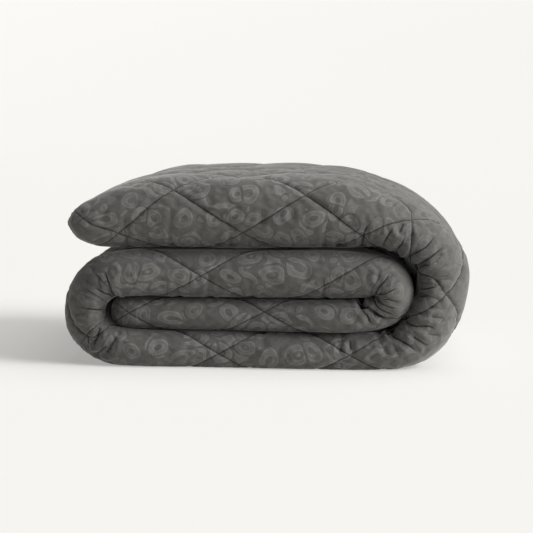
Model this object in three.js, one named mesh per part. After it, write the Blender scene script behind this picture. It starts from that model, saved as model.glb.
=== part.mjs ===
// A quilted single duvet, folded in three along its length and then rolled up flat.
// One filled solid: a long folded strip, wound from its inner end at the core out to the free end,
// which tapers off on top. The stitching pulls channels into the cover along two crossing families
// of seams, and the cover gathers into pleats on the inner side of the turns.
// Millimetres. +X runs along the layers, +Y away from the viewer, +Z up. The origin is on the
// floor under the middle of the folded duvet.

import * as THREE from 'three';
import { LoftGeometry } from 'three/addons/geometries/LoftGeometry.js';

// Driving dimensions
const STRIP_WIDTH = 467;        // 1400 mm of duvet folded in three
const CROWN = 0.03;             // rise of the stack in the middle of its width
const NOSE_LENGTH = 0.95;       // length of the rounded long edges, as a share of the half thickness
const NOSE_POWER = 2.3;         // 2 is a round edge, more is squarer
const CORE_END_LENGTH = 16;     // the strip rounds off to its end seams over these lengths
const FREE_END_LENGTH = 20;
const END_POWER = 2.2;
const END_SEAM = 7;             // thickness left at an end seam
const CORNER_RADIUS = 38;       // rounding of the strip's four corners, seen from above
const COVER_SIDE = 0.8;         // the cover keeps its length at this share of the way to its outer face
const SEAM_DEPTH = 6;           // how far a seam lies under the crest of the padding beside it
const SEAM_SLOPE = 1.38;        // travel of a seam along the strip for each millimetre across it
const SEAM_LEAN_REACH = 30;     // a seam's own lean holds this far to either side of the front edge
const PUFF_POWER = 0.6;         // below 1 the padding is fuller and the channels narrower
const INNER_PUFF = 0.5;         // share of the seam depth left on the hidden inner faces
const QUIET_END = 45;           // seams and pleats fade out over this length at the ends
const PLEAT_WIDTH = 7;
const STATION_STEP = 21;        // spacing of the cross-sections away from the pleats
const END_STATIONS = [1.5, 5, 11, 20, 32]; // closer cross-sections at both ends

// The winding, from the core to the free end: the middle line of the strip, its thickness, and how
// far it lies aside, away from the viewer.
const WINDING = [
  { part: 'core end', x: -184, z: 63.5, thick: 33, aside: 5 },
  { part: 'core', x: -173, z: 63.5, thick: 36, aside: 5 },
  { part: 'core', x: -139, z: 63.5, thick: 37, aside: 4 },
  { part: 'core', x: -79, z: 63.5, thick: 37, aside: 3 },
  { part: 'core', x: -8, z: 63.5, thick: 37, aside: 2 },
  { part: 'core', x: 63, z: 63.7, thick: 37.5, aside: 2 },
  { part: 'inner turn', x: 112, z: 65, thick: 39.5, aside: 3 },
  { part: 'inner turn', x: 134, z: 69.5, thick: 42, aside: 3 },
  { part: 'inner turn', x: 146.5, z: 79.5, thick: 44, aside: 2 },
  { part: 'inner turn', x: 150, z: 93, thick: 45, aside: 1 },
  { part: 'inner turn', x: 146.5, z: 105.5, thick: 47, aside: 0 },
  { part: 'inner turn', x: 131, z: 113, thick: 50.5, aside: -1 },
  { part: 'second layer', x: 92, z: 114, thick: 56.5, aside: -2 },
  { part: 'second layer', x: 27, z: 113.6, thick: 57, aside: -1 },
  { part: 'second layer', x: -44, z: 113.5, thick: 57, aside: 0 },
  { part: 'second layer', x: -110, z: 113, thick: 57, aside: 1 },
  { part: 'second layer', x: -158, z: 112, thick: 55.5, aside: 0 },
  { part: 'left turn', x: -192.5, z: 105.5, thick: 51, aside: -1 },
  { part: 'left turn', x: -214, z: 87.5, thick: 48, aside: -2 },
  { part: 'left turn', x: -220, z: 64, thick: 47, aside: -2 },
  { part: 'left turn', x: -211.5, z: 41.5, thick: 46.5, aside: -1 },
  { part: 'left turn', x: -189, z: 25.5, thick: 46, aside: 0 },
  { part: 'lowest layer', x: -157, z: 20.8, thick: 44.5, aside: 1 },
  { part: 'lowest layer', x: -109, z: 20.3, thick: 45, aside: 2 },
  { part: 'lowest layer', x: -43, z: 20.3, thick: 45, aside: 2 },
  { part: 'lowest layer', x: 28, z: 20.3, thick: 45, aside: 1 },
  { part: 'lowest layer', x: 88, z: 20.3, thick: 45, aside: 0 },
  { part: 'lowest layer', x: 128, z: 20.8, thick: 45.5, aside: 0 },
  { part: 'right turn', x: 155, z: 23, thick: 47, aside: 0 },
  { part: 'right turn', x: 178, z: 34, thick: 49, aside: -1 },
  { part: 'right turn', x: 196.5, z: 56, thick: 54, aside: -2 },
  { part: 'right turn', x: 205.5, z: 88, thick: 60, aside: -2 },
  { part: 'right turn', x: 205.2, z: 118, thick: 64, aside: -1 },
  { part: 'right turn', x: 193, z: 143.8, thick: 65, aside: 0 },
  { part: 'right turn', x: 168.5, z: 162.5, thick: 63.5, aside: 1 },
  { part: 'right turn', x: 137.5, z: 176.3, thick: 66.5, aside: 1 },
  { part: 'top layer', x: 98, z: 182.6, thick: 75.5, aside: 0 },
  { part: 'top layer', x: 50, z: 185, thick: 80.5, aside: -1 },
  { part: 'top layer', x: -9, z: 184.7, thick: 80.5, aside: -2 },
  { part: 'top layer', x: -68, z: 183.4, thick: 80, aside: -1 },
  { part: 'top layer', x: -128, z: 180.6, thick: 75, aside: 1 },
  { part: 'free end', x: -170, z: 176, thick: 67, aside: 2 },
  { part: 'free end', x: -199, z: 172.8, thick: 55.5, aside: 3 },
  { part: 'free end', x: -218, z: 172, thick: 43.5, aside: 3 },
  { part: 'free end', x: -231.5, z: 172, thick: 30, aside: 3 },
  { part: 'free end', x: -240.5, z: 172.5, thick: 11, aside: 3 },
];

// Seams: where each one crosses the middle of the front edge, measured along the cover from the
// core, and its slope where that is not the usual one.
const RISING_SEAMS = [
  { at: -125 }, { at: 25 }, { at: 194 }, { at: 320, slope: 1 }, { at: 644 }, { at: 885, slope: 0.2 },
  { at: 1057 }, { at: 1215 }, { at: 1386 }, { at: 1505, slope: 0.5 }, { at: 1608 }, { at: 1758 },
  { at: 1904 }, { at: 2050 },
];
const FALLING_SEAMS = [
  { at: -130 }, { at: 22 }, { at: 172 }, { at: 479 }, { at: 642 }, { at: 885, slope: 3.4 },
  { at: 1067 }, { at: 1220 }, { at: 1397 }, { at: 1540 }, { at: 1688 }, { at: 1852 }, { at: 2005 },
];

// Pleats: place along the cover, and reach across it from the inner side (below 0) of the front
// edge to its outer side.
const PLEATS = [
  { turn: 'inner', at: 305, from: -22, to: 14, depth: 4 },
  { turn: 'inner', at: 334, from: -24, to: 16, depth: 4 },
  { turn: 'inner', at: 360, from: -24, to: 12, depth: 4 },
  { turn: 'inner', at: 389, from: -24, to: 6, depth: 4 },
  { turn: 'inner', at: 421, from: -24, to: 12, depth: 4 },
  { turn: 'inner', at: 447, from: -14, to: 13, depth: 3 },
  { turn: 'left', at: 765, from: -28, to: 12, depth: 4 },
  { turn: 'left', at: 784, from: -28, to: 2, depth: 4 },
  { turn: 'left', at: 806, from: -20, to: 8, depth: 2.5 },
  { turn: 'left', at: 838, from: -30, to: 8, depth: 3.5 },
  { turn: 'left', at: 898, from: -26, to: 10, depth: 4 },
  { turn: 'left', at: 916, from: -8, to: 20, depth: 3 },
  { turn: 'left', at: 931, from: -26, to: 11, depth: 4.5 },
  { turn: 'lowest', at: 1218, from: -24, to: -8, depth: 2.5 },
  { turn: 'right', at: 1278, from: -20, to: 14, depth: 2 },
  { turn: 'right', at: 1294, from: -34, to: 14, depth: 5 },
  { turn: 'right', at: 1316, from: -14, to: 14, depth: 3 },
  { turn: 'right', at: 1340, from: -34, to: 10, depth: 4.5 },
  { turn: 'right', at: 1360, from: -10, to: 11, depth: 2.5 },
  { turn: 'right', at: 1386, from: -38, to: -12, depth: 3.5 },
  { turn: 'right', at: 1413, from: -24, to: 11, depth: 2.5 },
  { turn: 'right', at: 1462, from: -30, to: 17, depth: 5 },
  { turn: 'right', at: 1481, from: -34, to: 15, depth: 3.5 },
  { turn: 'right', at: 1512, from: -34, to: -2, depth: 4 },
  { turn: 'top', at: 1536, from: -26, to: 0, depth: 3 },
  { turn: 'top', at: 1570, from: -26, to: -4, depth: 3 },
];

// Points round a cross-section: counted from the front edge over the outer face to the back edge
// and home along the inner face. The reaches are arc lengths to either side of an edge.
const FRONT_REACH = 42;
const FRONT_STEPS = 9;
const OUTER_STEPS = 20;
const BACK_REACH = 50;
const BACK_STEPS = 9;
const INNER_STEPS = 11;

const QUARTER_STEPS = 24;
const CURVE_STEPS = 3000;

// The middle line as a dense run of points with direction, half thickness and length of cover.
function windingPoints() {
  const path = new THREE.CatmullRomCurve3(
    WINDING.map((row) => new THREE.Vector3(row.x, row.aside, row.z)), false, 'catmullrom', 0.5);
  const thickness = new THREE.CatmullRomCurve3(
    WINDING.map((row) => new THREE.Vector3(row.thick, 0, 0)), false, 'catmullrom', 0.5);
  const points = [];
  for (let i = 0; i <= CURVE_STEPS; i++) {
    const place = path.getPoint(i / CURVE_STEPS);
    const half = thickness.getPoint(i / CURVE_STEPS).x / 2;
    points.push({ x: place.x, aside: place.y, z: place.z, half });
  }
  points.forEach((point, i) => {
    const before = points[Math.max(i - 1, 0)];
    const after = points[Math.min(i + 1, CURVE_STEPS)];
    point.angle = Math.atan2(after.z - before.z, after.x - before.x);
  });
  points[0].cover = 0;
  for (let i = 1; i <= CURVE_STEPS; i++) {
    const before = points[i - 1];
    const here = points[i];
    while (here.angle < before.angle - Math.PI) here.angle += 2 * Math.PI;
    const step = Math.hypot(here.x - before.x, here.z - before.z);
    here.cover = before.cover + step + COVER_SIDE * here.half * (here.angle - before.angle);
  }
  return points;
}

const winding = windingPoints();
const coverLength = winding[CURVE_STEPS].cover;

function windingAt(cover) {
  let low = 0;
  let high = CURVE_STEPS;
  while (high - low > 1) {
    const middle = (low + high) >> 1;
    if (winding[middle].cover <= cover) low = middle;
    else high = middle;
  }
  const a = winding[low];
  const b = winding[high];
  const share = THREE.MathUtils.clamp((cover - a.cover) / (b.cover - a.cover), 0, 1);
  const mix = (name) => THREE.MathUtils.lerp(a[name], b[name], share);
  return { x: mix('x'), aside: mix('aside'), z: mix('z'), half: mix('half'), angle: mix('angle') };
}

// Outline of a cross-section: y across the strip, n from its middle line towards its outer face.
function outlineOf(half, width) {
  const nose = NOSE_LENGTH * half;
  const quarter = [];
  for (let i = 0; i <= QUARTER_STEPS; i++) {
    const a = (i / QUARTER_STEPS) * (Math.PI / 2);
    quarter.push({
      inset: nose * (1 - Math.pow(Math.max(Math.cos(a), 0), 2 / NOSE_POWER)),
      n: half * Math.pow(Math.sin(a), 2 / NOSE_POWER),
    });
  }
  const front = quarter.map((q) => ({ y: q.inset - width / 2, n: q.n }));
  const back = quarter.map((q) => ({ y: width / 2 - q.inset, n: q.n })).reverse();
  const outer = [...front, ...back];
  const inner = outer.map((p) => ({ y: p.y, n: -p.n })).reverse();
  const points = [...outer, ...inner.slice(1)];
  points[0].arc = 0;
  for (let i = 1; i < points.length; i++) {
    const a = points[i - 1];
    const b = points[i];
    b.arc = a.arc + Math.hypot(b.y - a.y, b.n - a.n);
  }
  return { points, length: points[points.length - 1].arc };
}

function onOutline({ points, length }, arc) {
  const place = THREE.MathUtils.euclideanModulo(arc, length);
  let i = 1;
  while (i < points.length - 1 && points[i].arc <= place) i++;
  const a = points[i - 1];
  const b = points[i];
  const share = (place - a.arc) / (b.arc - a.arc);
  const y = THREE.MathUtils.lerp(a.y, b.y, share);
  const n = THREE.MathUtils.lerp(a.n, b.n, share);
  return { y, n };
}

function ringArcs(length) {
  const runs = [
    { from: -FRONT_REACH, to: FRONT_REACH, steps: FRONT_STEPS },
    { from: FRONT_REACH, to: length / 2 - BACK_REACH, steps: OUTER_STEPS },
    { from: length / 2 - BACK_REACH, to: length / 2 + BACK_REACH, steps: BACK_STEPS },
    { from: length / 2 + BACK_REACH, to: length - FRONT_REACH, steps: INNER_STEPS },
  ];
  return runs.flatMap(({ from, to, steps }) =>
    Array.from({ length: steps }, (_, i) => from + ((to - from) * i) / steps));
}

// How full the padding is between two neighbouring seams of one family: 0 on a seam, 1 half way.
function fullness(seams, direction, cover, arc) {
  const near = THREE.MathUtils.clamp(arc, -SEAM_LEAN_REACH, SEAM_LEAN_REACH);
  const crossing = ({ at, slope = SEAM_SLOPE }) =>
    at + direction * (slope * near + SEAM_SLOPE * (arc - near));
  const next = seams.findIndex((seam) => crossing(seam) > cover);
  const b = next < 0 ? seams.length - 1 : Math.max(next, 1);
  const start = crossing(seams[b - 1]);
  const end = crossing(seams[b]);
  return Math.abs(Math.sin((Math.PI * (cover - start)) / (end - start)));
}

function pleatDepth(cover, arc) {
  let depth = 0;
  for (const pleat of PLEATS) {
    const middle = (pleat.from + pleat.to) / 2;
    const reach = (pleat.to - pleat.from) / 2;
    const along = (cover - pleat.at) / PLEAT_WIDTH;
    const across = Math.abs(arc - middle) / (reach + PLEAT_WIDTH);
    depth += pleat.depth * Math.exp(-along * along) * Math.sqrt(Math.max(1 - across * across, 0));
  }
  return depth;
}

// How far the cover lies under its full shape; the arc runs from the front edge both ways.
function sunkBy(cover, arc, length) {
  const around = arc > length / 2 + BACK_REACH ? arc - length : arc;
  const hidden = around < -FRONT_REACH || arc >= length / 2 + BACK_REACH;
  const puff = Math.pow(
    fullness(RISING_SEAMS, 1, cover, around) * fullness(FALLING_SEAMS, -1, cover, around), PUFF_POWER);
  const seam = SEAM_DEPTH * (1 - puff) * (hidden ? INNER_PUFF : 1);
  const quiet = Math.min(cover, coverLength - cover) / QUIET_END;
  return (seam + pleatDepth(cover, around)) * Math.min(quiet, 1);
}

function endRounding(toEnd, reach) {
  const rise = 1 - Math.min(toEnd / reach, 1);
  return Math.pow(1 - Math.pow(rise, END_POWER), 1 / END_POWER);
}

// One cross-section, standing across the winding at a place along the cover.
function sectionAt(cover) {
  const here = windingAt(cover);
  const toEnd = Math.min(cover, coverLength - cover);
  const rounding = endRounding(cover, CORE_END_LENGTH) * endRounding(coverLength - cover, FREE_END_LENGTH);
  const half = Math.max(here.half * rounding, END_SEAM / 2);
  const corner = 1 - Math.min(toEnd / CORNER_RADIUS, 1);
  const width = STRIP_WIDTH - 2 * CORNER_RADIUS * (1 - Math.sqrt(1 - corner * corner));
  const outline = outlineOf(half, width);
  const outward = { x: Math.sin(here.angle), z: -Math.cos(here.angle) };
  return ringArcs(outline.length).map((arc) => {
    const depth = sunkBy(cover, arc, outline.length);
    const point = onOutline(outline, arc);
    const ahead = onOutline(outline, arc + 1);
    const behind = onOutline(outline, arc - 1);
    const side = new THREE.Vector2(ahead.n - behind.n, behind.y - ahead.y).normalize();
    const y = point.y + depth * side.x;
    const n = point.n + depth * side.y;
    const rise = 1 + CROWN * (1 - (2 * y / STRIP_WIDTH) ** 2);
    const place = new THREE.Vector3(
      here.x + outward.x * n, y + here.aside, Math.max((here.z + outward.z * n) * rise, 0));
    return { place, depth };
  });
}

// Cross-sections stand on every pleat, half way between close pleats, and evenly elsewhere.
function stations() {
  const coreEnd = [0, ...END_STATIONS];
  const freeEnd = coreEnd.map((place) => coverLength - place).reverse();
  const marks = [coreEnd[coreEnd.length - 1], ...PLEATS.map((pleat) => pleat.at), freeEnd[0]];
  const places = [...coreEnd];
  for (let i = 1; i < marks.length; i++) {
    const span = marks[i] - marks[i - 1];
    const steps = Math.max(Math.round(span / STATION_STEP), 2);
    for (let k = 1; k <= steps; k++) places.push(marks[i - 1] + (span * k) / steps);
  }
  places.push(...freeEnd.slice(1));
  return places;
}

// Splits each quad along the deeper of its diagonals, so that the channels run unbroken.
function followChannels(geometry, rings) {
  const columns = rings[0].length;
  const row = columns + 1;
  for (let i = 0; i < rings.length - 1; i++) {
    for (let j = 0; j < columns; j++) {
      const next = (j + 1) % columns;
      const kept = rings[i][next].depth + rings[i + 1][j].depth;
      const other = rings[i][j].depth + rings[i + 1][next].depth;
      if (other <= kept) continue;
      const a = i * row + j;
      const corners = [a, a + 1, a + row + 1, a, a + row + 1, a + row];
      corners.forEach((corner, k) => geometry.index.setX((i * columns + j) * corners.length + k, corner));
    }
  }
}

function duvetGeometry() {
  const rings = stations().map(sectionAt);
  const sections = rings.map((ring) => ring.map(({ place }) => place));
  const geometry = new LoftGeometry(sections, { capStart: true, capEnd: true });
  followChannels(geometry, rings);
  geometry.computeBoundingBox();
  const middle = geometry.boundingBox.getCenter(new THREE.Vector3());
  geometry.translate(-middle.x, -middle.y, 0);
  return geometry;
}

const cover = new THREE.MeshStandardMaterial({ color: 0x565653, roughness: 0.95, metalness: 0 });
const duvet = new THREE.Mesh(duvetGeometry(), cover);
duvet.name = 'duvet';

const part = new THREE.Group();
part.add(duvet);

export default part;
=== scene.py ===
"""Looks of a quilted duvet that is folded along its length and rolled up flat.

The cover is one padded piece: a grid of cross-sections that stand along the winding of the folded
strip, filled by a cloth simulation, then given its seams and creases. Lengths are in metres.
"""
import math
from collections import namedtuple

import bpy
import numpy as np
from bpy.props import FloatProperty, FloatVectorProperty, IntProperty, PointerProperty
from mathutils import Matrix, Vector


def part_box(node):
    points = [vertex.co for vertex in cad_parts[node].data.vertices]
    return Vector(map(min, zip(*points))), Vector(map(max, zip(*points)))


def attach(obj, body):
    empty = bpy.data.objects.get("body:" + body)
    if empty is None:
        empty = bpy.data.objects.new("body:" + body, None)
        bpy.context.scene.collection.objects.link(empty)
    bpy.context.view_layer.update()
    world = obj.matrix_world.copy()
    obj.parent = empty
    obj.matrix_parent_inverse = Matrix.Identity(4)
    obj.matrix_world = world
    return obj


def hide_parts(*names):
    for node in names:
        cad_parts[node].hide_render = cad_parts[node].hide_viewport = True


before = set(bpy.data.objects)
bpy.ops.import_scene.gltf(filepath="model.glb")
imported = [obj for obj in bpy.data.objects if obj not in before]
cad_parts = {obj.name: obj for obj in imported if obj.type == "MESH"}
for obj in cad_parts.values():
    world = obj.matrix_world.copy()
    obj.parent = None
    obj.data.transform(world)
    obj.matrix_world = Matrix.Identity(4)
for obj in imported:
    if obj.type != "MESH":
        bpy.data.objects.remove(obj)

bl_info = {
    "name": "Folded duvet",
    "version": (1, 0, 0),
    "blender": (4, 5, 0),
    "location": "View3D > Sidebar > Duvet",
    "description": "Builds a folded and rolled quilted duvet around its fixed frame, with a studio stage",
    "category": "Object",
}

NODE = "duvet"
BODY = "root"

# The winding, from the strip's end at the core to its free end on top: the middle line, its
# thickness, and how far it lies aside, away from the viewer.
Station = namedtuple("Station", "x z thick aside")
WINDING = (
    Station(-0.1885, 0.0627, 0.0342, 0.013),
    Station(-0.1770, 0.0627, 0.0376, 0.013),
    Station(-0.1390, 0.0626, 0.0384, 0.012),
    Station(-0.0790, 0.0626, 0.0384, 0.009),
    Station(-0.0080, 0.0626, 0.0384, 0.005),
    Station(0.0630, 0.0629, 0.0390, 0.000),
    Station(0.1140, 0.0650, 0.0410, -0.003),  # inner turn
    Station(0.1370, 0.0695, 0.0430, -0.005),
    Station(0.1500, 0.0795, 0.0450, -0.009),
    Station(0.1542, 0.0925, 0.0460, -0.011),
    Station(0.1488, 0.1046, 0.0455, -0.010),
    Station(0.1327, 0.1117, 0.0498, -0.006),
    Station(0.0920, 0.1123, 0.0562, -0.003),  # second layer
    Station(0.0270, 0.1115, 0.0570, -0.001),
    Station(-0.0440, 0.1112, 0.0570, 0.000),
    Station(-0.1100, 0.1108, 0.0570, 0.001),
    Station(-0.1580, 0.1107, 0.0565, 0.000),
    Station(-0.1912, 0.1050, 0.0535, 0.001),  # left turn
    Station(-0.2125, 0.0870, 0.0515, 0.001),
    Station(-0.2182, 0.0640, 0.0515, 0.001),
    Station(-0.2117, 0.0408, 0.0530, 0.001),
    Station(-0.1892, 0.0252, 0.0495, 0.001),
    Station(-0.1570, 0.0208, 0.0452, 0.001),  # lowest layer
    Station(-0.1090, 0.0205, 0.0455, 0.002),
    Station(-0.0430, 0.0205, 0.0455, 0.002),
    Station(0.0280, 0.0205, 0.0455, 0.001),
    Station(0.0880, 0.0205, 0.0455, 0.000),
    Station(0.1280, 0.0210, 0.0460, 0.000),
    Station(0.1565, 0.0232, 0.0475, 0.000),  # right turn
    Station(0.1799, 0.0345, 0.0570, -0.001),
    Station(0.1981, 0.0568, 0.0630, -0.002),
    Station(0.2095, 0.0880, 0.0608, -0.002),
    Station(0.2110, 0.1190, 0.0620, -0.001),
    Station(0.1959, 0.1441, 0.0590, 0.000),
    Station(0.1708, 0.1632, 0.0585, 0.001),
    Station(0.1385, 0.1765, 0.0645, 0.001),
    Station(0.0980, 0.1820, 0.0788, 0.000),  # top layer
    Station(0.0500, 0.1838, 0.0853, -0.001),
    Station(-0.0090, 0.1836, 0.0860, -0.002),
    Station(-0.0680, 0.1829, 0.0864, -0.001),
    Station(-0.1280, 0.1815, 0.0829, 0.001),
    Station(-0.1700, 0.1754, 0.0722, 0.002),  # free end
    Station(-0.1990, 0.1706, 0.0605, 0.003),
    Station(-0.2180, 0.1702, 0.0470, 0.003),
    Station(-0.2315, 0.1712, 0.0310, 0.003),
    Station(-0.2405, 0.1720, 0.0120, 0.003),
)

# Seams of the two crossing families: where each one crosses the middle of the front edge, measured
# along the cover from the core, and its slope there on the outer and the inner side.
SEAM_SLOPE = 1.38
Seam = namedtuple("Seam", "at slope inner", defaults=(SEAM_SLOPE, None))
RISING_SEAMS = (
    Seam(-0.125), Seam(0.027), Seam(0.199), Seam(0.327, 1.0), Seam(0.655), Seam(0.896, 0.2), Seam(1.070),
    Seam(1.228), Seam(1.403), Seam(1.525, 0.5), Seam(1.630), Seam(1.778), Seam(1.925), Seam(2.071),
)
FALLING_SEAMS = (
    Seam(-0.130), Seam(0.024), Seam(0.177), Seam(0.489), Seam(0.653), Seam(0.908, 2.2, 0.5), Seam(1.080),
    Seam(1.233), Seam(1.415, 0.8, 1.38), Seam(1.560), Seam(1.708), Seam(1.874), Seam(2.026),
)

# Creases where the cover gathers: points (along the cover, across it from the front edge, outer side
# positive) and the depth of the trough.
Crease = namedtuple("Crease", "depth points")
CREASES = (
    Crease(0.0013, ((0.454, 0.013), (0.456, 0.002), (0.456, -0.007))),  # inner turn
    Crease(0.0015, ((0.438, 0.008), (0.443, -0.006), (0.449, -0.017))),
    Crease(0.0030, ((0.424, 0.012), (0.428, -0.001), (0.439, -0.018))),
    Crease(0.0012, ((0.407, 0.013), (0.415, -0.004))),
    Crease(0.0030, ((0.400, 0.005), (0.398, -0.006), (0.398, -0.019))),
    Crease(0.0030, ((0.372, 0.012), (0.369, -0.006), (0.361, -0.018))),
    Crease(0.0020, ((0.363, 0.012), (0.351, -0.006), (0.342, -0.019))),
    Crease(0.0030, ((0.351, 0.018), (0.342, 0.001), (0.331, -0.014))),
    Crease(0.0035, ((0.343, 0.021), (0.331, 0.005), (0.317, -0.013), (0.307, -0.020))),
    Crease(0.0030, ((0.316, 0.014), (0.313, 0.000), (0.306, -0.014))),
    Crease(0.0030, ((0.775, 0.012), (0.773, 0.000), (0.774, -0.022))),  # left turn
    Crease(0.0015, ((0.790, 0.015), (0.784, 0.001), (0.779, -0.014))),
    Crease(0.0030, ((0.802, 0.000), (0.793, -0.016), (0.783, -0.028))),
    Crease(0.0015, ((0.814, 0.008), (0.812, -0.003), (0.809, -0.015))),
    Crease(0.0025, ((0.847, 0.008), (0.848, -0.012), (0.850, -0.034))),
    Crease(0.0030, ((0.904, -0.020), (0.911, -0.011), (0.915, 0.009))),
    Crease(0.0035, ((0.950, -0.020), (0.943, -0.006), (0.937, 0.011))),
    Crease(0.0020, ((0.936, -0.003), (0.928, 0.011), (0.925, 0.020))),
    Crease(0.0020, ((0.897, 0.003), (0.904, 0.008), (0.910, 0.019))),
    Crease(0.0020, ((1.231, -0.021), (1.232, -0.008))),  # lowest layer
    Crease(0.0012, ((1.216, -0.022), (1.219, -0.010))),
    Crease(0.0040, ((1.481, 0.017), (1.482, 0.000), (1.484, -0.021))),  # right turn
    Crease(0.0025, ((1.471, -0.013), (1.478, -0.021))),
    Crease(0.0025, ((1.499, 0.016), (1.499, -0.001), (1.508, -0.025))),
    Crease(0.0012, ((1.436, 0.011), (1.430, -0.011))),
    Crease(0.0020, ((1.423, -0.006), (1.412, -0.029))),
    Crease(0.0025, ((1.407, -0.017), (1.399, -0.030))),
    Crease(0.0035, ((1.360, 0.008), (1.359, -0.003), (1.342, -0.024))),
    Crease(0.0015, ((1.379, 0.011), (1.376, -0.003))),
    Crease(0.0025, ((1.336, 0.014), (1.330, -0.007))),
    Crease(0.0015, ((1.356, 0.018), (1.350, 0.004))),
    Crease(0.0040, ((1.321, 0.014), (1.311, -0.006), (1.289, -0.028))),
    Crease(0.0012, ((1.282, 0.011), (1.274, -0.006), (1.267, -0.019))),
    Crease(0.0012, ((1.297, 0.015), (1.291, -0.004), (1.289, -0.014))),
    Crease(0.0012, ((1.604, -0.011), (1.612, 0.000))),  # top layer
    Crease(0.0020, ((1.589, -0.004), (1.593, -0.022))),
    Crease(0.0020, ((1.553, -0.001), (1.557, -0.021))),
    Crease(0.0020, ((1.542, 0.009), (1.542, -0.003))),
    Crease(0.0030, ((1.533, -0.002), (1.531, -0.019), (1.532, -0.024))),
    Crease(0.0012, ((1.621, -0.027), (1.625, -0.035))),
)

# Small gathers that fill the turns between the creases: a stretch of the cover, and how many lie in it
Gathers = namedtuple("Gathers", "start end count")
GATHERED = (
    Gathers(0.305, 0.450, 9), Gathers(0.785, 0.945, 12), Gathers(1.285, 1.560, 20),
    Gathers(0.500, 0.760, 5), Gathers(0.980, 1.240, 5), Gathers(1.600, 1.900, 6),
)
GATHER_SEED = 5               # for the front edge; the back edge has the next one
GATHER_PLACE = (0.1, 0.9)     # where a gather may lie, as a share of its part of the stretch
GATHER_START = (-0.004, 0.016)
GATHER_LENGTH = (0.010, 0.024)
GATHER_LEAN = (-0.006, 0.006)
GATHER_DEPTH = (0.001, 0.0014)
GATHER_BOW = 0.4              # share of its lean that is left half-way along a gather


def gathers(seed):
    """Small creases at places drawn at random, with the draws fixed by the seed."""
    chance = np.random.default_rng(seed)
    rows = []
    for stretch in GATHERED:
        gap = (stretch.end - stretch.start) / stretch.count
        for k in range(stretch.count):
            along = stretch.start + gap * (k + chance.uniform(*GATHER_PLACE))
            outer = chance.uniform(*GATHER_START)
            length = chance.uniform(*GATHER_LENGTH)
            lean = chance.uniform(*GATHER_LEAN)
            depth = chance.uniform(*GATHER_DEPTH)
            middle = (along + GATHER_BOW * lean, outer - length / 2)
            rows.append(Crease(depth, ((along + lean, outer), middle, (along, outer - length))))
    return tuple(rows)


class DuvetShape(bpy.types.PropertyGroup):
    """Sizes of the folded strip and its quilting"""
    width: FloatProperty(
        name="Strip width", description="Width of the duvet once it is folded in three",
        default=0.467, min=0.3, unit="LENGTH")
    crown: FloatProperty(
        name="Crown", description="Rise of the stack in the middle of its width, as a share of its height",
        default=0.018, min=0.0, max=0.1, subtype="FACTOR")
    seam_depth: FloatProperty(
        name="Seam depth", description="How far a seam lies under the crest of the padding",
        default=0.006, min=0.0, unit="LENGTH")
    stitch_groove: FloatProperty(
        name="Stitch groove", description="Depth of the sharp groove that the thread pulls along a seam",
        default=0.0008, min=0.0, unit="LENGTH")
    crease_scale: FloatProperty(
        name="Creases", description="Scales the depth of every crease",
        default=1.7, min=0.0, max=3.0, subtype="FACTOR")
    pressure: FloatProperty(
        name="Filling pressure", description="Pressure of the filling in the cloth simulation",
        default=8.0, min=0.0)
    slack: FloatProperty(
        name="Cover slack", description="Share of spare cloth that the cover has over its drawn shape",
        default=0.012, min=0.0, max=0.2, subtype="FACTOR")
    frames: IntProperty(
        name="Settling time", description="Frames that the cover is given to settle over its filling",
        default=14, min=2)
    reach: FloatProperty(
        name="Settling reach", description="The furthest that a point of the cover may move as it settles",
        default=0.010, min=0.0, unit="LENGTH")


def shape():
    return bpy.context.scene.duvet_shape


# Shape of the winding

CURVE_STEPS = 3000
COVER_SIDE = 0.8  # the cover keeps its length at this share of the way to its outer face


def spline(rows, places):
    """Points of the Catmull-Rom curve through the rows, at places counted in rows."""
    rows = np.asarray(rows, float)
    ends = np.concatenate([2 * rows[:1] - rows[1:2], rows, 2 * rows[-1:] - rows[-2:-1]])
    first = np.clip(places.astype(int), 0, len(rows) - 2)
    w = (places - first).reshape(-1, *[1] * (rows.ndim - 1))
    a, b, c, d = (ends[first + k] for k in range(4))
    return 0.5 * (2 * b + (c - a) * w + (2 * a - 5 * b + 4 * c - d) * w**2 + (3 * b - a - 3 * c + d) * w**3)


def winding_curve():
    """The middle line as arrays, each with one value per point, and the length of cover up to it."""
    points = spline(WINDING, np.linspace(0, len(WINDING) - 1, CURVE_STEPS + 1))
    x, z, half = points[:, 0], points[:, 1], points[:, 2] / 2
    ahead = np.minimum(np.arange(len(x)) + 1, len(x) - 1)
    behind = np.maximum(np.arange(len(x)) - 1, 0)
    angle = np.unwrap(np.arctan2(z[ahead] - z[behind], x[ahead] - x[behind]))
    step = np.hypot(np.diff(x), np.diff(z))
    cover = np.concatenate([[0], np.cumsum(step + COVER_SIDE * half[1:] * np.diff(angle))])
    return {"x": x, "z": z, "half": half, "angle": angle, "aside": points[:, 3], "cover": cover}


CURVE = winding_curve()
COVER_LENGTH = float(CURVE["cover"][-1])


def on_winding(name, along):
    """The winding's values of this name at places along the cover."""
    return np.interp(along, CURVE["cover"], CURVE[name])


# Cross-sections

NOSE_LENGTH = 1.10      # length of the rounded long edges, as a share of the half thickness
NOSE_POWER = 2.05       # 2 is a round edge, more is squarer
CORE_END_LENGTH = 0.016
FREE_END_LENGTH = 0.020
END_POWER = 2.2
END_SEAM = 0.003        # thickness at an end seam
END_PLACES = np.array([0.0, 0.0006, 0.0018, 0.0036, 0.0060, 0.0100, 0.0150])  # rows near an end
CORNER_RADIUS = 0.038
FRONT_REACH = 0.050     # arc from the middle of a long edge to where its finer spacing ends
QUARTER_STEPS = 48
LEAN_EDGE = 0.15        # half width that does not lean

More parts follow.
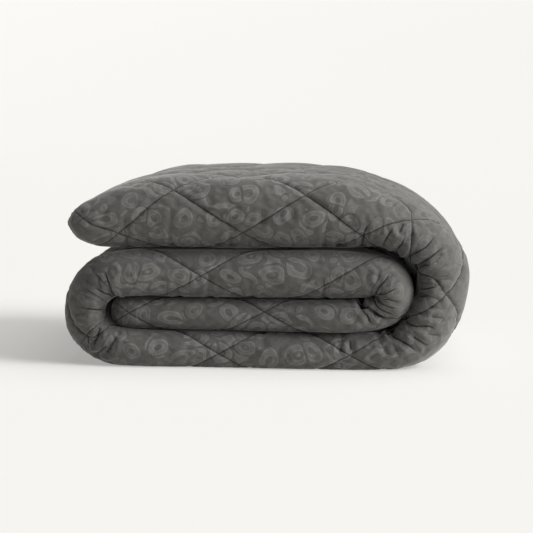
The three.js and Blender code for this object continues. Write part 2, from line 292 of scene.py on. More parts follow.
# The cloth at the inside of a turn lies this far behind the turn's edge
Leaning = namedtuple("Leaning", "middle reach lean")
LEANING_TURNS = (Leaning(0.376, 0.075, 0.016), Leaning(0.865, 0.085, 0.019), Leaning(1.435, 0.150, 0.028))


def end_rounding(to_end, reach):
    """Share of the full thickness that is left at a distance from an end."""
    rise = 1 - np.minimum(to_end / reach, 1)
    return (1 - rise**END_POWER) ** (1 / END_POWER)


def section_size(along):
    """Half thickness and width of the cross-sections at these places along the cover."""
    to_end = np.minimum(along, COVER_LENGTH - along)
    rounding = end_rounding(along, CORE_END_LENGTH) * end_rounding(COVER_LENGTH - along, FREE_END_LENGTH)
    half = np.maximum(on_winding("half", along) * rounding, END_SEAM / 2)
    corner = 1 - np.minimum(to_end / CORNER_RADIUS, 1)
    width = shape().width - 2 * CORNER_RADIUS * (1 - np.sqrt(1 - corner**2))
    return half, width


def section_outline(half, width):
    """Outline of one cross-section: y, n and the arc from the middle of the front edge."""
    turn = np.linspace(0, math.pi / 2, QUARTER_STEPS + 1)
    inset = NOSE_LENGTH * half * (1 - np.maximum(np.cos(turn), 0) ** (2 / NOSE_POWER))
    n = half * np.sin(turn) ** (2 / NOSE_POWER)
    y = np.concatenate([inset - width / 2, (width / 2 - inset)[::-1]])
    n = np.concatenate([n, n[::-1]])
    y = np.concatenate([y, y[::-1][1:]])
    n = np.concatenate([n, -n[::-1][1:]])
    arc = np.concatenate([[0], np.cumsum(np.hypot(np.diff(y), np.diff(n)))])
    return y, n, arc


Steps = namedtuple("Steps", "front face back")


def ring_arcs(length, steps):
    """Arcs of one ring's points; a point and its mirror image lie on the two faces of the strip."""
    half = length / 2
    runs = (
        (-FRONT_REACH, FRONT_REACH, steps.front),
        (FRONT_REACH, half - FRONT_REACH, steps.face),
        (half - FRONT_REACH, half + FRONT_REACH, steps.back),
        (half + FRONT_REACH, length - FRONT_REACH, steps.face),
    )
    return np.concatenate([a + (b - a) * np.arange(count) / count for a, b, count in runs])


class Grid:
    """Points of the cover: rows stand along it, columns run round it."""

    probe_step = 0.001  # to either side of a point, for the direction that its surface faces

    def __init__(self, along, steps):
        self.along = np.asarray(along, float)[:, None]
        self.steps = steps
        half, width = section_size(self.along[:, 0])
        self.angle = on_winding("angle", self.along)
        rows = []
        for h, w in zip(half, width):
            y, n, arc = section_outline(h, w)
            length = arc[-1]
            arcs = ring_arcs(length, steps)
            probe = self.probe_step
            here, ahead, behind = (
                (np.interp(a % length, arc, y), np.interp(a % length, arc, n))
                for a in (arcs, arcs + probe, arcs - probe))
            around = np.where(arcs > length / 2 + FRONT_REACH, arcs - length, arcs)
            rows.append((*here, ahead[1] - behind[1], behind[0] - ahead[0], around, length))
        self.y, self.n, side_y, side_n, self.around, self.ring = (np.array(v) for v in zip(*rows))
        size = np.hypot(side_y, side_n)
        self.side_y, self.side_n = side_y / size, side_n / size

    def lean(self):
        """How far the inner side of a turn draws back from the two long edges."""
        inward = np.clip(0.5 + 0.5 * self.n / self.n.max(axis=1, keepdims=True), 0, 1)
        back = sum(t.lean * np.exp(-(((self.along - t.middle) / t.reach) ** 4)) for t in LEANING_TURNS)
        return back * inward**2 * -np.clip(self.y / LEAN_EDGE, -1, 1)

    def wound(self, depth=0.0, shift=(0.0, 0.0)):
        """The points on the wound strip, sunk by depth."""
        y = self.y + depth * self.side_y + self.lean()
        n = self.n + depth * self.side_n
        rise = 1 + shape().crown * (1 - (2 * y / shape().width) ** 2)
        x = on_winding("x", self.along) + np.sin(self.angle) * n
        z = (on_winding("z", self.along) - np.cos(self.angle) * n) * rise
        y = y + on_winding("aside", self.along)
        return np.stack([x + shift[0], y + shift[1], np.maximum(z, 0)], axis=-1)


# Seams and creases

SEAM_SPACING = 0.151     # along the cover, where the seams do not reach the front edge
SEAM_LEAN_REACH = 0.030  # a seam's own slope holds this far to either side of the front edge
PUFF_POWER = 0.42        # below 1 the padding is fuller and the channels narrower
EDGE_SHARE = 0.8         # share of the seam depth that is lost where a layer's edge turns over
INNER_PUFF = 0.5         # share of the seam depth left on the hidden inner faces
COVER_RING = 1.02        # way once round the strip
QUIET_END = 0.045        # seams and creases fade out over this length at the ends

# Hollows between the layers that the padding fills: a stretch of the cover, its side (1 is the outer
# face, -1 the inner one) and the height of the swelling.
Fill = namedtuple("Fill", "start end side height")
FILLS = (Fill(0.42, 0.54, 1, 0.009), Fill(1.40, 1.60, -1, 0.018), Fill(0.74, 0.94, -1, 0.008))


def whole_family(seams):
    """The seams that cross the front edge, and on both sides of them those that only reach the rest."""
    count = math.ceil(SEAM_SLOPE * COVER_RING / 2 / SEAM_SPACING)
    before = [Seam(seams[0].at - SEAM_SPACING * k) for k in range(count, 0, -1)]
    after = [Seam(seams[-1].at + SEAM_SPACING * k) for k in range(1, count + 1)]
    return (*before, *seams, *after)


def seam_wave(seams, direction, along, around):
    """Fullness of the padding between two seams, from 0 on a seam to 1, and the distance to the
    nearest seam, which changes its sign from one seam to the next."""
    near = np.clip(around, -SEAM_LEAN_REACH, SEAM_LEAN_REACH)
    full = np.zeros(np.broadcast(along, around).shape)
    distance = full.copy()
    leans = [np.where(around < 0, s.slope if s.inner is None else s.inner, s.slope) for s in seams]
    crossings = [
        s.at + direction * (lean * near + SEAM_SLOPE * (around - near)) for s, lean in zip(seams, leans)]
    outside = near != around
    for k in range(len(seams) - 1):
        start, end = crossings[k], crossings[k + 1]
        share = (along - start) / (end - start)
        inside = (share >= 0) & (share < 1)
        slope = np.where(outside, SEAM_SLOPE, leans[k] + share * (leans[k + 1] - leans[k]))
        wave = np.sin(math.pi * share)
        full[inside] = wave[inside]
        width = (end - start) / np.sqrt(1 + slope**2) / math.pi
        distance[inside] = ((-1) ** k * wave * width)[inside]
    return full, distance


def seam_field(grid, rounding=0.0):
    """How far the cover is drawn in, and its distances to the seams of both families."""
    rising, near_rising = seam_wave(whole_family(RISING_SEAMS), 1, grid.along, grid.around)
    falling, near_falling = seam_wave(whole_family(FALLING_SEAMS), -1, grid.along, grid.around)
    puff = (np.hypot(rising, rounding) * np.hypot(falling, rounding)) ** PUFF_POWER
    inner = np.clip((-grid.around - FRONT_REACH) / FRONT_REACH, 0, 1)
    to_edge = np.minimum(np.abs(grid.around), COVER_RING / 2 - np.abs(grid.around))
    turned = 1 - np.clip((to_edge - FRONT_REACH) / FRONT_REACH, 0, 1)
    inner = np.maximum((1 - INNER_PUFF) * inner, EDGE_SHARE * turned * grid.side_n**2)
    depth = shape().seam_depth * (1 - np.minimum(puff, 1)) * (1 - inner)
    return depth * quiet(grid) - hidden_fill(grid), near_rising, near_falling


def hidden_fill(grid):
    """How far the hidden faces swell in the middle of the width, where the layers leave a hollow."""
    middle = np.maximum(1 - (2 * grid.y / shape().width) ** 2, 0)
    swell = np.zeros(grid.y.shape)
    for fill in FILLS:
        inside = np.sin(math.pi * np.clip((grid.along - fill.start) / (fill.end - fill.start), 0, 1))
        swell += fill.height * inside * middle * np.clip(fill.side * grid.around / FRONT_REACH - 1, 0, 1)
    return swell


def quiet(grid):
    """0 at the two ends of the cover, where the seams and creases fade out, and 1 between them."""
    return np.clip(np.minimum(grid.along, COVER_LENGTH - grid.along) / QUIET_END, 0, 1)


def sample(points, row, column):
    """A point between those of the grid, at a row and column that need not be whole."""
    i, j = int(row), int(column)
    u, v = row - i, column - j
    near = points[i, j] * (1 - v) + points[i, j + 1] * v
    far = points[i + 1, j] * (1 - v) + points[i + 1, j + 1] * v
    return near * (1 - u) + far * u


INNER_START = -0.012  # a crease that comes this far inwards runs on round the inner side
INNER_END = -0.046
CREASE_PARTS = 6
CROWDED = (0.25, 0.90)  # creases fade as a turn squeezes the cloth from the second share to the first
CREASE_CORE = 0.55   # share of a crease's depth in its sharp core
CREASE_FLANK = 2.6   # width of its softer flanks, in widths of the crease
RIDGE_SHARE = 0.30   # height of the ridges beside a crease, as a share of its depth
RIDGE_OFFSET = 4.2   # their distance from it, in widths of the crease
CREASE_WINDOW = 0.05  # a crease shapes the cover up to this far from it
CREASE_FADE = 0.22   # share of its length over which a crease fades in from its outer end
CREASE_TAPER = 0.5   # share of its depth that it gains on its way inwards
FAR = 1.0
PAINTED_SHADE_DEPTHS = (0.0010, 0.0018)  # between these depths a crease comes to darken the cloth with painted shade
PAINTED_SHADE_REACH = 0.0020  # distance from a crease over which its painted shade reaches


def crease_route(points):
    """A smooth route through a crease's points, led on round the inner side where it reaches there."""
    route = np.array(points)
    if route[-1, 1] < INNER_START:
        route = np.vstack([route, [route[-1, 0], INNER_END]])
    return spline(route, np.linspace(0, len(route) - 1, CREASE_PARTS * (len(route) - 1) + 1))


def crease_relief(grid, points, creases, width, back=False):
    """Depth of the creases over the grid: a trough between two low ridges, fading at its outer end.
    Also the distance to the nearest crease, with a sign for its side, and the strength of the painted shade
    along that crease."""
    relief = np.zeros(points.shape[:2])
    beside = np.full(points.shape[:2], FAR)
    strength = np.zeros(points.shape[:2])
    steps = grid.steps
    first, count = (steps.front + steps.face, steps.back) if back else (0, steps.front)
    per_arc = count / (2 * FRONT_REACH)
    columns = slice(first, first + count + 1)
    for crease in creases:
        line = []
        route = crease_route(crease.points)
        for along, around in route:
            row = np.interp(along, grid.along[:, 0], np.arange(len(grid.along)))
            turned = -around if back else around
            line.append(sample(points, row, first + (turned + FRONT_REACH) * per_arc))
        low, high = np.searchsorted(
            grid.along[:, 0], [route[:, 0].min() - CREASE_WINDOW, route[:, 0].max() + CREASE_WINDOW])
        patch = points[low:high, columns]
        facing = outward(patch)
        nearest = np.full(patch.shape[:2], FAR)
        share = np.zeros(patch.shape[:2])
        side = np.ones(patch.shape[:2])
        for k, (a, b) in enumerate(zip(line, line[1:])):
            run = b - a
            t = np.clip((patch - a) @ run / (run @ run), 0, 1)
            distance = np.linalg.norm(patch - a - t[..., None] * run, axis=-1)
            closer = distance < nearest
            nearest[closer] = distance[closer]
            share[closer] = ((k + t) / (len(line) - 1))[closer]
            side[closer] = np.sign(np.einsum("ijk,ijk->ij", np.cross(patch - a, run), facing))[closer]
        fade = np.clip(share / CREASE_FADE, 0, 1)
        deepening = 1 - CREASE_TAPER * (1 - share)
        x = nearest / width
        trough = CREASE_CORE * np.exp(-x) + (1 - CREASE_CORE) * np.exp(-((x / CREASE_FLANK) ** 2))
        trough -= RIDGE_SHARE * np.exp(-((x - RIDGE_OFFSET) ** 2) / 2)
        fade = fade * fade * (3 - 2 * fade)
        relief[low:high, columns] += crease.depth * trough * deepening * fade
        # Painted shade along the crease: stronger for deeper creases, fading with the distance from it
        painted_shade_share = np.interp(crease.depth, PAINTED_SHADE_DEPTHS, (0, 1))
        stronger = (nearest < np.abs(beside[low:high, columns])) & (painted_shade_share > 0)
        beside[low:high, columns][stronger] = (nearest * side)[stronger]
        crease_painted_shade = fade * painted_shade_share * np.exp(-((nearest / PAINTED_SHADE_REACH) ** 2))
        strength[low:high, columns][stronger] = crease_painted_shade[stronger]
    crowding = np.linalg.norm(np.gradient(points, axis=0), axis=-1) / np.gradient(grid.along, axis=0)
    return relief * shape().crease_scale * np.interp(crowding, CROWDED, (0, 1)), beside, strength


# Filling: a cloth simulation settles the cover over its padding

COARSE_STEP = 0.0052
COARSE = Steps(20, 34, 20)
FINE_STEP = 0.0030
TURN_STEP = 0.0018
FINE = Steps(72, 100, 44)
CREASED = ((0.29, 0.46), (0.75, 0.95), (1.19, 1.62))  # stretches of the cover with the smaller step
STEP_FADE = 0.02


def stations(step, turn_step):
    """Places along the cover, closer in its turns and at its rounded ends."""
    probe = np.linspace(END_PLACES[-1], COVER_LENGTH - END_PLACES[-1], CURVE_STEPS)
    depth = np.max([np.minimum(probe - start, end - probe) for start, end in CREASED], axis=0)
    size = step + (turn_step - step) * np.clip(depth / STEP_FADE, 0, 1)
    count = np.concatenate([[0], np.cumsum(np.diff(probe) / size[1:])])
    middle = np.interp(np.linspace(0, count[-1], round(count[-1]) + 1), count, probe)
    return np.concatenate([END_PLACES[:-1], middle, (COVER_LENGTH - END_PLACES[:-1])[::-1]])


def resampled(values, coarse, fine):
    """Values of the coarse grid at the points of the fine one."""
    values = spline(values, np.interp(fine.along[:, 0], coarse.along[:, 0], np.arange(len(coarse.along))))
    ring = np.swapaxes(values, 0, 1)
    ring = np.concatenate([ring[-2:], ring, ring[:3]])
    first, places = 2, []
    for few, many in zip(four_runs(coarse.steps), four_runs(fine.steps)):
        places.append(first + few * np.arange(many) / many)
        first += few
    return np.swapaxes(spline(ring, np.concatenate(places)), 0, 1)


def four_runs(steps):
    """Columns in the four runs of one ring."""
    return steps.front, steps.face, steps.back, steps.face


def grid_faces(rows, columns, front_steps):
    """Quads of a closed tube with its two ends sewn flat, facing outwards."""
    i, j = np.meshgrid(np.arange(rows - 1), np.arange(columns), indexing="ij")
    nxt = (j + 1) % columns
    here, ahead = i * columns, (i + 1) * columns
    tube = np.stack([here + j, here + nxt, ahead + nxt, ahead + j], -1)
    faces = [tube.reshape(-1, 4)]
    k = np.arange(front_steps // 2, front_steps // 2 + columns // 2)
    opposite = (front_steps - k) % columns
    beside = (front_steps - k - 1) % columns
    last = (rows - 1) * columns
    sewn = np.stack([k, opposite, beside, (k + 1) % columns], -1)
    faces.append(sewn)
    faces.append(last + sewn[:, ::-1])
    return faces


def new_mesh(name, points, faces):
    """A mesh object of quads; a quad whose corners fall together becomes a triangle."""
    mesh = bpy.data.meshes.new(name)
    quads = np.concatenate(faces).tolist()
    corners = [[v for n, v in enumerate(quad) if v != quad[n - 1]] for quad in quads]
    mesh.from_pydata(points.reshape(-1, 3).tolist(), [], [c for c in corners if len(c) > 2])
    mesh.update()
    piece = bpy.data.objects.new(name, mesh)
    bpy.context.scene.collection.objects.link(piece)
    return piece


EXPOSED_TURNS = ((0.74, 0.95), (1.24, 3.0))  # stretches of the cover whose outer face is free
EXPOSED_FADE = 0.06
FREE_GAIN = 1.5      # a long edge is free by this times how squarely it faces sideways, less
FREE_LOSS = 0.25     # this


def freedom(grid):
    """1 where the cover may swell and 0 where another layer or the floor presses on it."""
    free = np.clip(FREE_GAIN * np.abs(grid.side_y) - FREE_LOSS, 0, 1)
    outer = grid.around > 0
    for start, end in EXPOSED_TURNS:
        open_face = np.clip(np.minimum(grid.along - start, end - grid.along) / EXPOSED_FADE, 0, 1)
        free = np.maximum(free, np.where(outer, open_face, 0))
    return free


SEWN_REACH = 0.004    # distance from a seam or crease over which it holds the cover
CREASE_HOLD = 0.0015  # a crease of this depth holds the cover fully
HOLD_LEVELS = 20      # steps in which the hold is given to the simulation
CLOTH_SETTINGS = {
    "quality": 5, "mass": 0.01, "air_damping": 1.0, "tension_stiffness": 20, "compression_stiffness": 20,
    "shear_stiffness": 5, "bending_stiffness": 0.2, "pin_stiffness": 1.0, "use_pressure": True,
}


def settle(grid, start, near_seams, creases):
    """How far the cover moves as it swells over its filling, held at its seams and creases."""
    free = freedom(grid)
    faces = np.concatenate(grid_faces(*start.shape[:2], grid.steps.front))
    faces = faces[(free.ravel()[faces] > 0).any(axis=1)]
    used, faces = np.unique(faces, return_inverse=True)
    piece = new_mesh("settling_cover", start.reshape(-1, 3)[used], [faces.reshape(-1, 4)])
    sewn = np.exp(-((near_seams / SEWN_REACH) ** 2))
    creased = np.clip(creases / CREASE_HOLD, 0, 1)
    held = np.maximum.reduce([1 - free, sewn, creased]).ravel()[used]
    group = piece.vertex_groups.new(name="held")
    for level in range(1, HOLD_LEVELS + 1):
        chosen = np.flatnonzero(np.round(held * HOLD_LEVELS) == level)
        group.add(chosen.tolist(), level / HOLD_LEVELS, "REPLACE")
    cloth = piece.modifiers.new("filling", "CLOTH")
    settings = cloth.settings
    for name, value in CLOTH_SETTINGS.items():
        setattr(settings, name, value)
    settings.vertex_group_mass = group.name
    settings.uniform_pressure_force = shape().pressure
    settings.shrink_min = -shape().slack
    settings.effector_weights.gravity = 0
    cloth.collision_settings.use_collision = False
    cloth.collision_settings.use_self_collision = False
    cloth.point_cache.frame_end = shape().frames
    for number in range(1, shape().frames + 1):
        bpy.context.scene.frame_set(number)
    settled = piece.evaluated_get(bpy.context.evaluated_depsgraph_get())
    moved = np.empty(3 * len(used), np.float32)
    settled.data.vertices.foreach_get("co", moved)
    bpy.context.scene.frame_set(1)
    bpy.data.objects.remove(piece)
    shift = np.zeros_like(start).reshape(-1, 3)
    shift[used] = moved.reshape(-1, 3) - start.reshape(-1, 3)[used]
    shift = shift.reshape(start.shape)
    size = np.linalg.norm(shift, axis=-1, keepdims=True)
    reach = shape().reach * free[..., None]
    return shift * reach / np.maximum(size + reach, 1e-9)


def outward(points):
    """Unit normals of the grid's surface."""
    along = np.gradient(points, axis=0)
    around = np.roll(points, -1, 1) - np.roll(points, 1, 1)
    normal = np.cross(around, along)
    return normal / np.maximum(np.linalg.norm(normal, axis=-1, keepdims=True), 1e-12)


# The cover

SOFT_ROUNDING = 0.22    # rounds the channels of the coarse grid, which is too open for sharp ones
SOFT_CREASE = 0.0055    # width of the creases that hold the coarse grid
SHARP_CREASE = 0.0018   # and of those that show in the fine one
GROOVE_WIDTH = 0.0020


def all_creases(grid, points, width):
    """The creases of the front edge, and their mirror images on the back edge."""
    front = crease_relief(grid, points, CREASES + gathers(GATHER_SEED), width)
    back = crease_relief(grid, points, CREASES + gathers(GATHER_SEED + 1), width, back=True)
    nearer = np.abs(front[1]) < np.abs(back[1])
    return front[0] + back[0], np.where(nearer, front[1], back[1]), np.where(nearer, front[2], back[2])


PUCKER_DEPTH = 0.0004   # of the small puckers that the thread draws across a seam
PUCKER_LENGTH = 0.014   # from one pucker to the next
PUCKER_REACH = 0.012    # distance from the seam over which they die away
PUCKER_SWAYS = ((37.0, 0.0), (61.0, 23.0))  # waves along and across the cover that make them uneven
PUCKER_DRIFT = 2.0      # how strongly the waves move the puckers
PUCKER_UNEVEN = 0.4     # and how strongly they change their height
PUCKER_CHANGES = 3.0


def puckers(grid, near_rising, near_falling):
    """Height of the puckers that stand across the seams."""
    height = np.zeros(near_rising.shape)
    sway = sum(np.sin(along * grid.along + around * grid.around) for along, around in PUCKER_SWAYS)
    for near, direction in ((near_rising, 1), (near_falling, -1)):
        run = (grid.around + direction * SEAM_SLOPE * grid.along) / math.hypot(1, SEAM_SLOPE)
        wave = np.sin(2 * math.pi * run / PUCKER_LENGTH + PUCKER_DRIFT * sway)
        tall = 1 - PUCKER_UNEVEN + PUCKER_UNEVEN * np.sin(PUCKER_CHANGES * sway)
        height += PUCKER_DEPTH * wave * tall * np.exp(-((near / PUCKER_REACH) ** 2))
    return height * quiet(grid)


FAINT_TURNS = ((0.33, 0.45), (0.80, 0.94), (1.31, 1.57))  # stretches whose edge shows the print faintly
FAINT_PRINT = 0.35      # strength of the print there
FAINT_REACH = 0.030     # arc from the edge's middle that is faint


def print_strength(grid):
    """How strongly the print shows: faint at the gathered edges of the turns, full elsewhere."""
    to_edge = np.minimum(np.abs(grid.around), COVER_RING / 2 - np.abs(grid.around))
    near_edge = np.clip(2 - to_edge / FAINT_REACH, 0, 1)
    in_turn = sum(
        np.clip(np.minimum(grid.along - start, end - grid.along) / FAINT_REACH + 0.5, 0, 1)
        for start, end in FAINT_TURNS)
    return 1 - (1 - FAINT_PRINT) * near_edge * in_turn


PAINTED_GAP_POWER = 1.5      # above 1 the painted gap shade keeps closer to where the faces meet
OPEN_END = 0.06          # length of the free end that stands out over the layers below it; the painted shade fades out along it
OPEN_RIM = (0.31, 0.46)  # stretch of the inner turn whose outer edge stands clear and is left without painted shade
RIM_FADE = 0.03


def painted_gap_mask(grid):
    """Painted shade for the gaps between the layers: 1 on the faces that another layer or the floor covers,
    falling to 0 where light comes in.
    """
    end = np.clip((COVER_LENGTH - grid.along) / OPEN_END, 0, 1)
    start, stop = OPEN_RIM
    rim = np.clip(np.minimum(grid.along - start, stop - grid.along) / RIM_FADE, 0, 1) * (grid.around > 0)
    return ((1 - freedom(grid)) * end * (1 - rim)) ** PAINTED_GAP_POWER


def build_cover():
    """The cover, settled over its filling, with its grooves, creases, puckers and UV map."""
    grid = Grid(stations(FINE_STEP, TURN_STEP), FINE)
    depth, near_rising, near_falling = seam_field(grid)
    shift = centring(grid.wound(depth))
    points = grid.wound(depth, shift)
    coarse = Grid(stations(COARSE_STEP, COARSE_STEP), COARSE)
    soft, rising, falling = seam_field(coarse, SOFT_ROUNDING)
    start = coarse.wound(soft, shift)
    creases = all_creases(coarse, start, SOFT_CREASE)[0]
    start -= outward(start) * creases[..., None]
    moved = settle(coarse, start, np.minimum(np.abs(rising), np.abs(falling)), creases)
    points += resampled(moved, coarse, grid)

    nearest = np.minimum(np.abs(near_rising), np.abs(near_falling))
    groove = shape().stitch_groove * np.exp(-((nearest / GROOVE_WIDTH) ** 2)) * quiet(grid)
    relief, beside, strength = all_creases(grid, points, SHARP_CREASE)
    relief -= puckers(grid, near_rising, near_falling)
    points -= outward(points) * (groove + relief)[..., None]
    points[..., 2] = np.maximum(points[..., 2], 0)

    piece = new_mesh("duvet_cover", points, grid_faces(*points.shape[:2], grid.steps.front))
    mesh = piece.data
    mesh.polygons.foreach_set("use_smooth", np.ones(len(mesh.polygons), bool))
    # Two of these carry painted shade for the material: one along the creases, one in the gaps where layers
    # or the floor meet the cover
    measures = {
        "rising_seam": near_rising, "falling_seam": near_falling, "crease": beside,
        "painted_crease_shade": strength, "printed": print_strength(grid), "painted_gap_shade": painted_gap_mask(grid)}
    for name, values in measures.items():
        layer = mesh.attributes.new(name, "FLOAT", "POINT")
        layer.data.foreach_set("value", values.astype(np.float32).ravel())
    lay_uv(mesh, grid)
    return piece


def centring(points):
    """The move in X and Y that brings the wound strip to the frame's own place."""
    low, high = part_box(NODE)
    middle = (points.reshape(-1, 3).min(0) + points.reshape(-1, 3).max(0)) / 2
    return (low.x + high.x) / 2 - middle[0], (low.y + high.y) / 2 - middle[1]


def face_travel(grid):
    """Length along the cover at each row, counting the way round its two rounded ends."""
    along = grid.along[:, 0]
    half = section_size(along)[0]
    travel = np.concatenate([[0], np.cumsum(np.hypot(np.diff(along), np.diff(half)))])
    middle = len(along) // 2
    return travel - travel[middle] + along[middle]


def narrowed(grid):
    """How much nearer the edges lie to the middle of a face at each row of the two rounded ends."""
    along = grid.along[:, 0]
    full = np.interp(np.clip(along, CORNER_RADIUS, COVER_LENGTH - CORNER_RADIUS), along, grid.ring)
    return (full - grid.ring) / 4


def lay_uv(mesh, grid):
    """UV in metres of cover: along it, and across it from the front edge. At the rounded ends the
    middle line of a face keeps its place instead, so that the print isn't drawn aside."""
    columns = grid.around.shape[1]
    vertices = np.empty(len(mesh.loops), np.int32)
    mesh.loops.foreach_get("vertex_index", vertices)
    starts = np.empty(len(mesh.polygons), np.int32)
    sizes = np.empty(len(mesh.polygons), np.int32)
    mesh.polygons.foreach_get("loop_start", starts)
    mesh.polygons.foreach_get("loop_total", sizes)
    rows = vertices // columns
    along = face_travel(grid)[rows]
    around = grid.around.ravel()[vertices]
    anchor = np.repeat(around[starts], sizes)
    length = grid.ring[rows]
    around = around + length * np.round((anchor - around) / length)
    around += np.where(anchor < 0, -1, 1) * narrowed(grid)[rows]
    uv = np.stack([along, around], -1)
    layer = mesh.uv_layers.new(name="cloth")
    layer.data.foreach_set("uv", uv.astype(np.float32).ravel())


class DuvetFabric(bpy.types.PropertyGroup):
    """Colours and scale of the printed microfibre"""
    ground: FloatVectorProperty(
        name="Ground", description="Colour of the cloth between the motifs",
        default=(0.085, 0.084, 0.080), min=0, max=1, subtype="COLOR")
    motif: FloatVectorProperty(
        name="Motif", description="Colour of the printed motifs",
        default=(0.124, 0.123, 0.119), min=0, max=1, subtype="COLOR")
    outline: FloatVectorProperty(
        name="Outline", description="Colour of the thin outline of the motifs",
        default=(0.158, 0.157, 0.152), min=0, max=1, subtype="COLOR")
    motif_spacing: FloatProperty(
        name="Motif spacing", description="Distance between the middles of neighbouring motifs",
        default=0.030, min=0.005, unit="LENGTH")
    roughness: FloatProperty(
        name="Roughness", description="Roughness of the cloth",
        default=0.92, min=0, max=1, subtype="FACTOR")
    sheen: FloatProperty(
        name="Sheen", description="Soft shine of the brushed fibres",
        default=0.34, min=0, max=1, subtype="FACTOR")


def fabric():
    return bpy.context.scene.duvet_fabric


class Nodes:
    """Small helper that adds shader nodes and links them."""

    def __init__(self, name):
        self.material = bpy.data.materials.new(name)
        self.material.use_nodes = True
        self.tree = self.material.node_tree
        self.tree.nodes.clear()

    def add(self, kind, inputs=None, **settings):
        node = self.tree.nodes.new(kind)
        for key, value in settings.items():
            setattr(node, key, value)
        for key, value in (inputs or {}).items():
            self.feed(node.inputs[key], value)
        return node

    def feed(self, socket, value):
        if isinstance(value, bpy.types.NodeSocket):
            self.tree.links.new(value, socket)
        else:
            socket.default_value = value

    def math(self, operation, *values):
        node = self.add("ShaderNodeMath", operation=operation)
        for socket, value in zip(node.inputs, values):
            self.feed(socket, value)
        return node.outputs[0]

    def vector(self, operation, *values):
        node = self.add("ShaderNodeVectorMath", operation=operation)
        for socket, value in zip(node.inputs, values):
            self.feed(socket, value)
        return node.outputs["Value" if operation in ("LENGTH", "DOT_PRODUCT", "DISTANCE") else "Vector"]

    def scaled(self, vector, factor):
        node = self.add("ShaderNodeVectorMath", {"Vector": vector, "Scale": factor}, operation="SCALE")
        return node.outputs["Vector"]

    def ramp(self, value, low, high, to_low=0.0, to_high=1.0):
        inputs = {"Value": value, "From Min": low, "From Max": high, "To Min": to_low, "To Max": to_high}
        node = self.add("ShaderNodeMapRange", inputs, interpolation_type="SMOOTHSTEP")
        return node.outputs["Result"]

    def attribute(self, name):
        return self.add("ShaderNodeAttribute", attribute_name=name).outputs["Fac"]

    def lerp(self, first, second, share):
        return self.math("ADD", first, self.math("MULTIPLY", self.math("SUBTRACT", second, first), share))

    def mix(self, share, first, second):
        node = self.add("ShaderNodeMix", data_type="RGBA")
        self.feed(node.inputs["Factor"], share)
        self.feed(node.inputs[6], first)
        self.feed(node.inputs[7], second)
        return node.outputs[2]

    def noise(self, vector, scale, detail=2.0, roughness=0.5, kind="Fac"):
        inputs = {"Vector": vector, "Scale": scale, "Detail": detail, "Roughness": roughness}
        return self.add("ShaderNodeTexNoise", inputs).outputs[kind]

    def finished(self, inputs):
        """The material, with a shader that takes these inputs."""
        shader = self.add("ShaderNodeBsdfPrincipled", inputs)
        output = self.add("ShaderNodeOutputMaterial")
        self.tree.links.new(shader.outputs[0], output.inputs["Surface"])
        return self.material


def rgb(colour):
    """A colour with full opacity."""
    return (*colour, 1.0)


# The print. Lengths are in spacings of its motifs.
SWAY_SCALE = 1.1
MOTIF_SEED = 3.7
MOTIF_SWAY = 0.38           # how far places are swayed, so that no motif is a plain circle
MOTIF_SCATTER = 0.72        # 0 sets the motifs in even rows, 1 scatters them fully
MOTIF_SQUEEZE = (0.95, 0.66)  # a motif's length is its breadth over a value between these
MOTIF_RADIUS = (0.315, 0.09)  # the least radius, and how much more the largest has
HOLE_RADIUS = (0.105, 0.06)
BLOT_RADIUS = (0.11, 0.09)
MOTIF_CLEARANCE = 0.045     # kept free on each side of the border between two motifs
MOTIF_CORNER = 0.10         # rounding where that border cuts a motif
HOLE_CORNER = 0.05
SLOT_HALF = 0.07            # half width of the slot that opens a ring
SLOT_START = -0.02          # where it starts, from the ring's middle
SLOT_CORNERS = (0.05, 0.06)
OPENED_OVER = 0.70          # rings whose random value is over this are open
BLOTS_UNDER = 0.16          # and those under this are blots
STROKE_SEED = 11.3
STROKE_SWAY = 0.35
STROKE_SCALE = 1.15
STROKE_HEIGHT = -0.03       # the strokes follow the noise's places of this height over its mean
STROKE_HALF = 0.055
STROKE_GAIN = 1.9           # turns a height of the noise into a distance
CUT_SCALE = 0.8
CUT_HEIGHT = 0.47           # the strokes end where this second noise is under this
CUT_GAIN = 1.2
CUT_CORNER = 0.08
STROKE_CLEARANCE = 0.10     # kept free round a motif
STROKE_CORNER = 0.06


def swayed_place(nodes, cloth, spacing, seed, sway):
    """The cloth's own place in spacings, moved by the seed and swayed a little."""
    place = nodes.vector("ADD", nodes.scaled(cloth, 1 / spacing), (seed, 2 * seed, 0.0))
    wander = nodes.vector(
        "SUBTRACT", nodes.noise(place, SWAY_SCALE, 0.0, kind="Color"), (0.5, 0.5, 0.5))
    return nodes.vector("ADD", place, nodes.scaled(wander, sway))


def radius(nodes, sizes, share):
    """A radius that grows from the least one with a share drawn for each motif."""
    least, more = sizes
    return nodes.math("ADD", least, nodes.math("MULTIPLY", share, more))


